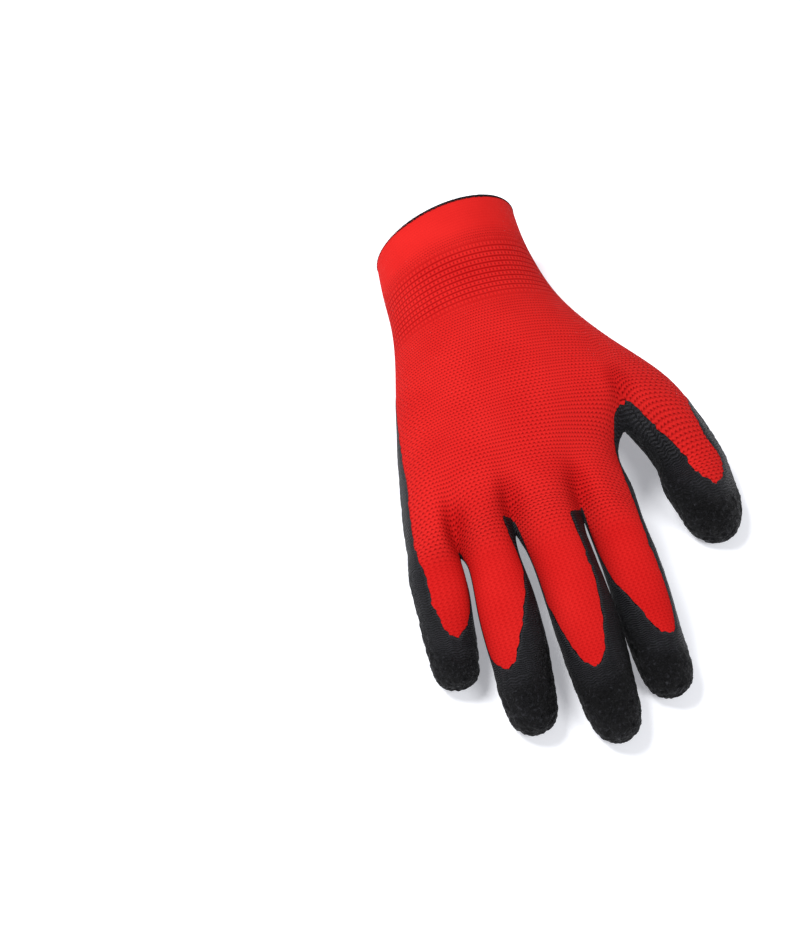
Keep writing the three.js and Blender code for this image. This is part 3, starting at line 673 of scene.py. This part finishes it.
# The bare back of each digit: row of the shell's sections, then the bare stretch's left and right end
# in columns from the digit's left side
BARE_BACK = dict(
    little=((3.6, -1, 4), (4.2, 0.1, 4), (5.4, 0.4, 4), (7.2, 0.66, 4), (9, 0.66, 3.5), (9.6, 0.8, 3.2),
            (10.3, 0.97, 3.05), (10.9, 0.93, 2.75), (11.25, 1.12, 2.45), (11.45, 1.2, 2.2), (11.6, 1.38, 2),
            (11.72, 1.7, 1.7)),
    ring=((9.1, -0.4, 3.4), (9.22, -0.35, 2.3), (9.45, -0.3, 2.32), (9.7, -0.1, 2.42),
          (9.97, -0.1, 2.55), (10.33, -0.1, 2.45), (10.65, -0.1, 2.2), (11.1, -0.1, 1.82),
          (11.45, 0, 1.5), (11.62, 0.12, 1.32), (11.74, 0.4, 1.2), (11.8, 0.6, 1.05), (11.83, 0.83, 0.83)),
    middle=((9.2, -0.4, 3.4), (9.5, -0.1, 2.1), (10.1, 0, 2.1), (10.75, 0.06, 2.05), (11.2, 0.4, 1.88),
            (11.45, 0.56, 1.76), (11.6, 0.7, 1.64), (11.73, 0.8, 1.6), (11.81, 0.98, 1.45),
            (11.86, 1.2, 1.2)),
    index=((6, -1, 3.4), (6.2, -1, 3), (6.5, -1, 2.6), (7.4, -1, 2.6), (8.3, -1, 2.4), (9.2, -0.4, 2.45),
           (9.6, -0.1, 2.42), (10.4, 0.15, 2.22), (10.9, 0.46, 2.28), (11.3, 0.9, 2.34),
           (11.55, 1.15, 2.31), (11.77, 1.34, 2.22), (11.87, 1.5, 2.15), (11.92, 1.65, 2.02),
           (11.95, 1.84, 1.84)),
    thumb=((4.6, -1, 4), (5.4, -1, 2.6), (5.9, -0.6, 2.27), (6.1, 0, 2.18), (6.3, 0.3, 2.1),
           (6.6, 0.5, 1.93), (6.9, 0.72, 1.8), (7.3, 0.82, 1.88), (7.6, 0.87, 1.93), (7.85, 0.99, 1.92),
           (8.15, 1.17, 1.78), (8.34, 1.35, 1.55), (8.42, 1.44, 1.46)),
)
# The dip's edge at the heel of the hand: column and row of sections
PALM_EDGE = ((0, 4.0), (3, 3.7), (8, 3.5), (12, 3.8), (14, 4.4), (15, 5.0))
# How far the edge strays, in columns and in rows: shift of the noise, size of its patches, reach
COLUMN_JAGS = ((0, 1.3, 0.07), (40, 3.1, 0.05))
ROW_JAGS = ((80, 1.3, 0.05), (120, 3.1, 0.03))
SPECK_FIELD = 0.02
CUT_MARGIN = 0.04
WEB_BLUR = 0.5


def noise_at(points_mm, size):
    """Smooth noise from -1 to 1 with patches of a size in millimetres."""
    return np.array([noise.noise(Vector(point)) for point in (points_mm / size).tolist()])


def bare_depth(name, column, row, side):
    """How far inside the bare knit a spot lies, in columns; the coating is where this is below zero."""
    table = np.array(BARE_BACK[name])
    local = column - DIGIT_NAMES.index(name) * DIGIT_COLUMNS
    on_back = np.minimum(local - np.interp(row, table[:, 0], table[:, 1]),
                         np.interp(row, table[:, 0], table[:, 2]) - local)
    edge = np.array(PALM_EDGE)
    start = np.where(row <= CROTCH_ROW, np.interp(column, edge[:, 0], edge[:, 1]) - row, -1.0)
    from_side = -np.minimum(local, DIGIT_COLUMNS - local)
    on_palm = np.where(start < 0, np.minimum(start, from_side), start)
    return np.where(side < 0, on_palm, on_back)


def cut_patch(points, faces, field):
    """Triangles of the part where the field is below zero, cut along its zero line, and the blends of
    old points that make the new ones."""
    triangles = np.vstack([faces[:, (0, 1, 2)], faces[:, (0, 2, 3)]])
    below = field < 0
    inside = below[triangles]
    kept = triangles[inside.all(1)].tolist()
    crossing = triangles[inside.any(1) & ~inside.all(1)].tolist()
    sources = []
    taken = {}

    def take(a, b):
        key = (min(a, b), max(a, b))
        if key not in taken:
            low, high = key
            share = 0.0
            if low != high:
                share = field[low] / (field[low] - field[high])
                share = min(max(share, CUT_MARGIN), 1 - CUT_MARGIN)
            taken[key] = len(sources)
            sources.append((low, high, share))
        return taken[key]

    out = [[take(vertex, vertex) for vertex in triangle] for triangle in kept]
    for triangle in crossing:
        outline = []
        for k, a in enumerate(triangle):
            b = triangle[(k + 1) % 3]
            if below[a]:
                outline.append(take(a, a))
            if below[a] != below[b]:
                outline.append(take(a, b))
        out += [[outline[0], outline[k], outline[k + 1]] for k in range(1, len(outline) - 1)]
    low, high, share = np.array(sources).T
    return np.array(out), (low.astype(int), high.astype(int), share[:, None])


def jagged(values, points, jags):
    """The values with noise added, so that the edge steps from stitch to stitch."""
    return values + sum(reach * noise_at(points + shift, size) for shift, size, reach in jags)


def coat_field(mesh, points):
    """bare_depth at every vertex; the webs between digits take a blend of their corners."""
    column, row, side = mesh.marks[:, :3].T
    column = jagged(column, points, COLUMN_JAGS)
    row = jagged(row, points, ROW_JAGS)
    per_root = len(mesh.faces) // len(cage.faces)
    homes = np.repeat(cage.home, per_root)
    field = np.full(len(points), np.nan)
    for name in DIGIT_NAMES:
        mine = np.unique(mesh.faces[homes == name])
        mine = mine[np.isnan(field[mine])]
        field[mine] = bare_depth(name, column[mine], row[mine], side[mine])
    web_faces = np.nonzero(homes == "web")[0]
    for root in np.unique(web_faces // per_root):
        corners = list(cage.faces[root])
        block = mesh.faces[root * per_root:(root + 1) * per_root]
        fresh = np.unique(block[np.isnan(field[block])])
        gaps = np.linalg.norm(points[fresh][:, None] - points[corners], axis=2)
        weights = 1 / (gaps + WEB_BLUR) ** 2
        field[fresh] = (weights * field[corners]).sum(1) / weights.sum(1)
    return field


def settled(field, faces):
    """The field with its specks flipped, so that the coating and the bare knit are one area each."""
    pairs = np.vstack([faces[:, pick] for pick in ((0, 1), (1, 2), (2, 3), (3, 0), (0, 2))])
    pairs = pairs[(field[pairs[:, 0]] < 0) == (field[pairs[:, 1]] < 0)]
    beside = [[] for _ in field]
    for a, b in pairs.tolist():
        beside[a].append(b)
        beside[b].append(a)
    area = np.full(len(field), -1)
    for start in range(len(field)):
        if area[start] < 0:
            area[start] = start
            waiting = [start]
            while waiting:
                for other in beside[waiting.pop()]:
                    if area[other] < 0:
                        area[other] = start
                        waiting.append(other)
    clean = field.copy()
    for coated in (True, False):
        mine = (field < 0) == coated
        main = np.bincount(area[mine]).argmax()
        clean[mine & (area != main)] = SPECK_FIELD if coated else -SPECK_FIELD
    return clean


fine_mesh, fine_points, fine_normals = surface_at(COAT_LEVEL, COAT_NORMAL_ROUNDS)
fine_field = settled(coat_field(fine_mesh, fine_points), fine_mesh.faces)
patch, (low, high, share) = cut_patch(fine_points, fine_mesh.faces, fine_field)
base = lerp(fine_points[low], fine_points[high], share)
lean = lerp(fine_normals[low], fine_normals[high], share)
lean /= np.linalg.norm(lean, axis=1)[:, None]
marks = lerp(fine_mesh.marks[low], fine_mesh.marks[high], share)
outer_edge = open_loop(patch)

# Distance of every point from the coating's edge
edge_points = base[outer_edge]
tree = kdtree.KDTree(len(edge_points))
for i, point in enumerate(edge_points):
    tree.insert(point, i)
tree.balance()
from_edge = np.array([tree.find(point)[2] for point in base])

thick = ramp(from_edge, *THICKENS)
height = np.maximum(lerp(COAT_EDGE, COAT_FULL, thick) * ramp(from_edge, *RISES), COAT_LEAST)
for i, (size, rise) in enumerate(FOLDS):
    height += thick * rise * (1 - 4 * np.abs(noise_at(base + i * FOLD_SHIFT, size)))
outer = base + lean * height[:, None]
outer[:, 2] = np.maximum(outer[:, 2], 0.0)
on_table = (base[:, 2] <= COAT_HEIGHT + 0.01) & (lean[:, 2] < -0.99)
outer[on_table, 2] = 0.0

# The inner face is coarser, and the finer mesh starts with its vertices, so the field is at hand. A
# strip of triangles closes the coating along its edge.
inner_field = settled(fine_field[:count], knit_mesh.faces)
inner_patch, (low, high, share) = cut_patch(knit_points, knit_mesh.faces, inner_field)
lining = knit_points + knit_normals * COAT_INNER
inner = lerp(lining[low], lining[high], share)
inner_marks = lerp(knit_mesh.marks[low], knit_mesh.marks[high], share)
inner_edge = open_loop(inner_patch)


def zip_loops(outer_loop, inner_loop, places, offset):
    """Triangles between two loops that run alongside each other."""
    first = places[outer_loop[0]]
    gaps = [np.linalg.norm(places[vertex + offset] - first) for vertex in inner_loop]
    start = int(np.argmin(gaps))
    inner_loop = inner_loop[start:] + inner_loop[:start]
    triangles = []
    i = k = 0
    n, m = len(outer_loop), len(inner_loop)
    while i < n or k < m:
        a, b = outer_loop[i % n], inner_loop[k % m] + offset
        next_a, next_b = outer_loop[(i + 1) % n], inner_loop[(k + 1) % m] + offset
        along_outer = np.linalg.norm(places[next_a] - places[b])
        along_inner = np.linalg.norm(places[next_b] - places[a])
        if k >= m or (i < n and along_outer <= along_inner):
            triangles.append((a, b, next_a))
            i += 1
        else:
            triangles.append((a, b, next_b))
            k += 1
    return triangles


places = np.vstack([outer, inner])
faces = patch.tolist() + (inner_patch[:, ::-1] + len(outer)).tolist()
faces += [(b, a, c) for a, b, c in zip_loops(outer_edge, inner_edge, places, len(outer))]
coating = add_mesh("black_latex_coating", places, faces)
all_marks = np.vstack([marks, inner_marks])
add_stitch_map(coating, all_marks[:, 3], all_marks[:, 4])
add_marks(coating, thick=np.concatenate([thick, np.ones(len(inner))]),
          from_edge=np.concatenate([from_edge, np.full(len(inner), THICKENS[1])]))

BLACK = (0.0036, 0.0036, 0.0042)
# Near black painted into the wrinkles, as painted shade
BLACK_FOLD_SHADE = (0.0006, 0.0006, 0.0008)
# Lighter grey for painted highlights on the ridges and edge courses, and for patches of lighter tone
BLACK_TONE_AND_HIGHLIGHT = (0.0200, 0.0200, 0.0245)
LATEX_DEPTH = 0.0011

latex = Finish("black_latex", {"Specular IOR Level": 0.17})
u, v = latex.stitches()
thick_share = latex.mark("thick")
edge_distance = latex.mark("from_edge")
thin_share = 1.0 - thick_share
lip = 1.0 - edge_distance.ease(0.2, 1.6)
drift = latex.grain(240.0, 2.0, 0.5)
course_wave = v * 1.35 + (u * math.tau * 0.5).math("SINE") * 0.22 + drift * 1.1
crest = course_wave.wave()
cells = latex.grain(760.0, 3.0, 0.65)
wrinkle = (1.0 - (cells - 0.5).math("ABSOLUTE") * 7.0).clip()
broad = latex.grain(300.0, 2.0, 0.55)
creases = (1.0 - (broad - 0.5).math("ABSOLUTE") * 9.0).clip()
pores = latex.grain(2600.0, 2.0, 0.6)
patches = latex.grain(60.0, 2.0, 0.5)
# The base colour is painted darker in the wrinkles between the crinkled skin's cells, as painted shade, and
# lighter on its ridges and along the knit's courses under the thin edge, as painted highlight; patches and
# a fine grain give it a lighter tone here and there
colour = latex.blend((wrinkle * thick_share).clip(), BLACK, BLACK_FOLD_SHADE)
ridge = ((cells - 0.50) * 5.0 * thick_share).clip()
# Painted highlight on the ridges and on the courses under the thin edge, with patches and grain of lighter
# tone
tone_and_highlight = ((patches - 0.45) * 0.8 + (pores - 0.52) * 1.6 + ridge + crest * thin_share * 0.9).clip()
colour = latex.blend(tone_and_highlight, colour, BLACK_TONE_AND_HIGHLIGHT)
latex.feed(latex.shader.inputs["Base Color"], colour)
rough = 0.44 + thick_share * 0.16 - ridge * 0.25 + (pores - 0.5) * 0.30 + patches * 0.08
latex.feed(latex.shader.inputs["Roughness"], rough)
relief = (crest * (0.10 + thin_share * 0.55) * (1.0 - lip) + (1.0 - wrinkle) * (0.18 + thick_share * 0.75)
          - creases * thick_share * 0.6 + pores * (0.08 + thick_share * 0.20))
latex.bump(relief, LATEX_DEPTH)
coating.data.materials.append(latex.material)

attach(coating, "root")
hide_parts("latex_coating")


# Overlock at the cuff's rim: a sewing machine winds black threads over the cut edge of the knit, so
# that it can't fray. Slanted loops lie side by side round the edge, and a chain runs along them.
STITCH_PITCH = 0.00075
THREAD_RADIUS = 0.00032
LOOP_WIDTH = 0.0017
LOOP_DEPTH = 0.0016
LOOP_CENTRE = (-0.00075, -0.00045, 0.0)
LOOP_SLANT = math.radians(20)
LOOP_ROUNDING = 0.0005
CHAIN_LIFT = -0.0016
CHAIN_DROP = 0.0012
THREAD_DARK = (0.002, 0.002, 0.0025)
THREAD_LIGHT = (0.009, 0.0085, 0.010)
# Loops are turned and sized at random between these
TILT_RANGE = {0: (-0.14, -0.03, -0.04), 1: (0.14, 0.03, 0.04)}
GROWTH_RANGE = {0: (0.92, 0.9, 1), 1: (1.06, 1.1, 1)}
SEED = 7

rim_points = knit_points[rim]
rim_out = knit_normals[rim]
forward = np.roll(rim_points, -1, axis=0) - np.roll(rim_points, 1, axis=0)
rim_along = np.cross(rim_out, forward)
rim_along /= np.linalg.norm(rim_along, axis=1)[:, None]
rim_along[rim_along[:, 1] < 0] *= -1
edge = bpy.data.meshes.new("cuff_edge")
edge_pairs = [(i, (i + 1) % len(rim)) for i in range(len(rim))]
edge.from_pydata((rim_points / 1000 + TABLE_SHIFT).tolist(), edge_pairs, [])
for name, vectors in (("out", rim_out), ("along", rim_along)):
    layer = edge.attributes.new(name, "FLOAT_VECTOR", "POINT")
    layer.data.foreach_set("vector", vectors.astype(np.float32).ravel())
# The rim rolls in a little at the cuff's two sides, where less of the stitching shows
fullness = 1.0 - 0.45 * ramp(np.abs(rim_out[:, 0]), 0.35, 0.85)
layer = edge.attributes.new("fullness", "FLOAT", "POINT")
layer.data.foreach_set("value", fullness.astype(np.float32))
overlock = bpy.data.objects.new("black_cuff_overlock", edge)
bpy.context.scene.collection.objects.link(overlock)

thread = Finish("black_thread", {"Specular IOR Level": 0.15})
twist = thread.grain(1500.0, 2.0, 0.6)
thread.feed(thread.shader.inputs["Base Color"], thread.blend(twist, THREAD_DARK, THREAD_LIGHT))
thread.feed(thread.shader.inputs["Roughness"], 0.75 + twist * 0.2)
thread.bump(twist, 0.0001, 0.7)


class Growth:
    """A Geometry Nodes tree laid out from Python, with named inputs."""

    def __init__(self, name, inputs):
        self.tree = bpy.data.node_groups.new(name, "GeometryNodeTree")
        self.tree.interface.new_socket("Geometry", in_out="INPUT", socket_type="NodeSocketGeometry")
        self.tree.interface.new_socket("Geometry", in_out="OUTPUT", socket_type="NodeSocketGeometry")
        self.names = {}
        for label, (kind, value) in inputs.items():
            socket = self.tree.interface.new_socket(label, in_out="INPUT", socket_type=kind)
            self.names[label] = (socket.identifier, value)
        self.start = self.tree.nodes.new("NodeGroupInput")
        self.end = self.tree.nodes.new("NodeGroupOutput")

    def size(self, label):
        return self.start.outputs[label]

    def add(self, kind, settings=None, sockets=None, output=0):
        node = self.tree.nodes.new(kind)
        for name, value in (settings or {}).items():
            setattr(node, name, value)
        for name, value in (sockets or {}).items():
            if isinstance(value, bpy.types.NodeSocket):
                self.tree.links.new(value, node.inputs[name])
            else:
                node.inputs[name].default_value = value
        return node.outputs[output]

    def vector(self, operation, a, b):
        second = "Scale" if operation == "SCALE" else 1
        return self.add("ShaderNodeVectorMath", {"operation": operation}, {0: a, second: b})

    def grow(self, piece):
        """Runs the tree on a piece and leaves it as a plain mesh."""
        modifier = piece.modifiers.new(self.tree.name, "NODES")
        modifier.node_group = self.tree
        for identifier, value in self.names.values():
            modifier[identifier] = value
        evaluated = piece.evaluated_get(bpy.context.evaluated_depsgraph_get())
        made = bpy.data.meshes.new_from_object(evaluated)
        piece.modifiers.remove(modifier)
        piece.data = made


stitching = Growth("overlock_stitching", {
    "Pitch": ("NodeSocketFloat", STITCH_PITCH),
    "Thread radius": ("NodeSocketFloat", THREAD_RADIUS),
    "Loop width": ("NodeSocketFloat", LOOP_WIDTH),
    "Loop depth": ("NodeSocketFloat", LOOP_DEPTH),
    "Seed": ("NodeSocketInt", SEED),
    "Thread": ("NodeSocketMaterial", thread.material),
})
out = stitching.add("GeometryNodeInputNamedAttribute", {"data_type": "FLOAT_VECTOR"}, {"Name": "out"})
along = stitching.add("GeometryNodeInputNamedAttribute", {"data_type": "FLOAT_VECTOR"}, {"Name": "along"})
line = stitching.add("GeometryNodeMeshToCurve", None, {"Mesh": stitching.start.outputs["Geometry"]})
spaced = stitching.add("GeometryNodeResampleCurve", {"mode": "LENGTH"},
                       {"Curve": line, "Length": stitching.size("Pitch")})
section = stitching.add("GeometryNodeCurvePrimitiveCircle", None,
                        {"Resolution": 5, "Radius": stitching.size("Thread radius")})
frame_curve = stitching.add("GeometryNodeCurvePrimitiveQuadrilateral", None,
                            {"Width": stitching.size("Loop width"), "Height": stitching.size("Loop depth")})
rounded = stitching.add("GeometryNodeFilletCurve", {"mode": "POLY"},
                        {"Curve": frame_curve, "Count": 1, "Radius": LOOP_ROUNDING})
ring = stitching.add("GeometryNodeCurveToMesh", None, {"Curve": rounded, "Profile Curve": section})
slanted = stitching.add("GeometryNodeTransform", None,
                        {"Geometry": ring, "Translation": LOOP_CENTRE, "Rotation": (LOOP_SLANT, 0, 0)})
facing = stitching.add("FunctionNodeAxesToRotation", {"primary_axis": "X", "secondary_axis": "Y"},
                       {"Primary Axis": out, "Secondary Axis": along})
tilt = stitching.add("FunctionNodeRandomValue", {"data_type": "FLOAT_VECTOR"},
                     {**TILT_RANGE, "Seed": stitching.size("Seed")})
turned = stitching.add("FunctionNodeRotateRotation", {"rotation_space": "LOCAL"},
                       {"Rotation": facing, "Rotate By": tilt})
growth = stitching.add("FunctionNodeRandomValue", {"data_type": "FLOAT_VECTOR"},
                       {**GROWTH_RANGE, "Seed": stitching.size("Seed")})
full = stitching.add("GeometryNodeInputNamedAttribute", {"data_type": "FLOAT"}, {"Name": "fullness"})
loops_out = stitching.add("GeometryNodeInstanceOnPoints", None,
                          {"Points": spaced, "Instance": slanted, "Rotation": turned,
                           "Scale": stitching.vector("SCALE", growth, full)})
aside = stitching.vector("ADD", stitching.vector("SCALE", out, CHAIN_LIFT),
                         stitching.vector("SCALE", along, -CHAIN_DROP))
moved = stitching.add("GeometryNodeSetPosition", None, {"Geometry": spaced, "Offset": aside})
chain = stitching.add("GeometryNodeCurveToMesh", None, {"Curve": moved, "Profile Curve": section})
joined = stitching.tree.nodes.new("GeometryNodeJoinGeometry")
stitching.tree.links.new(chain, joined.inputs[0])
stitching.tree.links.new(loops_out, joined.inputs[0])
real = stitching.add("GeometryNodeRealizeInstances", None, {"Geometry": joined.outputs[0]})
smooth = stitching.add("GeometryNodeSetShadeSmooth", None, {"Geometry": real})
finished = stitching.add("GeometryNodeSetMaterial", None,
                         {"Geometry": smooth, "Material": stitching.size("Thread")})
stitching.tree.links.new(finished, stitching.end.inputs[0])
stitching.grow(overlock)

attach(overlock, "root")
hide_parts("cuff_overlock")


# Table: the glove lies on a plain white sheet of card, which isn't part of it.
FLOOR_HALF = 6.0
WHITE = (0.80, 0.81, 0.84, 1)
GLOW = (0.93, 0.94, 1.0, 1)

card = bpy.data.meshes.new("card")
corners = [(x * FLOOR_HALF, y * FLOOR_HALF, 0) for x, y in ((-1, -1), (1, -1), (1, 1), (-1, 1))]
card.from_pydata(corners, [], [(0, 1, 2, 3)])
floor = bpy.data.objects.new("white_card", card)
bpy.context.scene.collection.objects.link(floor)
paper = Finish("white_card", {"Base Color": WHITE, "Roughness": 0.8, "Specular IOR Level": 0.1,
                              "Emission Color": GLOW, "Emission Strength": 0.34})
card.materials.append(paper.material)


# Studio: an even white surround, a broad soft lamp high behind the cuff at the left, and a weaker one
# that fills the shadows from the fingertips' side at the right.
AIM = Vector((0.0, 0.0, 0.02))

scene = bpy.context.scene
scene.view_settings.view_transform = "Standard"
world = bpy.data.worlds.new("studio")
scene.world = world
world.use_nodes = True
surround = world.node_tree.nodes["Background"]
surround.inputs["Color"].default_value = (0.97, 0.98, 1.0, 1)
surround.inputs["Strength"].default_value = 0.26


def add_lamp(name, place, size, power):
    """A square area lamp that faces the glove."""
    light = bpy.data.lights.new(name, "AREA")
    light.shape = "SQUARE"
    light.size = size
    light.energy = power
    lamp = bpy.data.objects.new(name, light)
    lamp.location = place
    lamp.rotation_mode = "QUATERNION"
    lamp.rotation_quaternion = (AIM - lamp.location).to_track_quat("-Z", "Y")
    scene.collection.objects.link(lamp)


add_lamp("key_lamp", place=(-0.50, 0.30, 0.95), size=0.45, power=14.5)
add_lamp("fill_lamp", place=(0.35, -0.80, 0.85), size=0.5, power=8.0)


# Camera: seen from the fingertips' side, 15 degrees left of them and 52 above the table.
AZIMUTH = math.radians(-15)
ELEVATION = math.radians(52)
DISTANCE = 0.679
TARGET = Vector((-0.058, -0.005, 0.020)) + Vector(TABLE_SHIFT)
FOCAL_LENGTH = 70.0

lens = bpy.data.cameras.new("camera")
lens.lens = FOCAL_LENGTH
lens.sensor_width = 36.0
lens.clip_start = 0.05
lens.clip_end = 50.0
camera = bpy.data.objects.new("camera", lens)
level = math.cos(ELEVATION)
away = Vector((math.sin(AZIMUTH) * level, -math.cos(AZIMUTH) * level, math.sin(ELEVATION)))
camera.location = TARGET + away * DISTANCE
camera.rotation_mode = "QUATERNION"
camera.rotation_quaternion = (-away).to_track_quat("-Z", "Y")
scene.collection.objects.link(camera)
scene.camera = camera
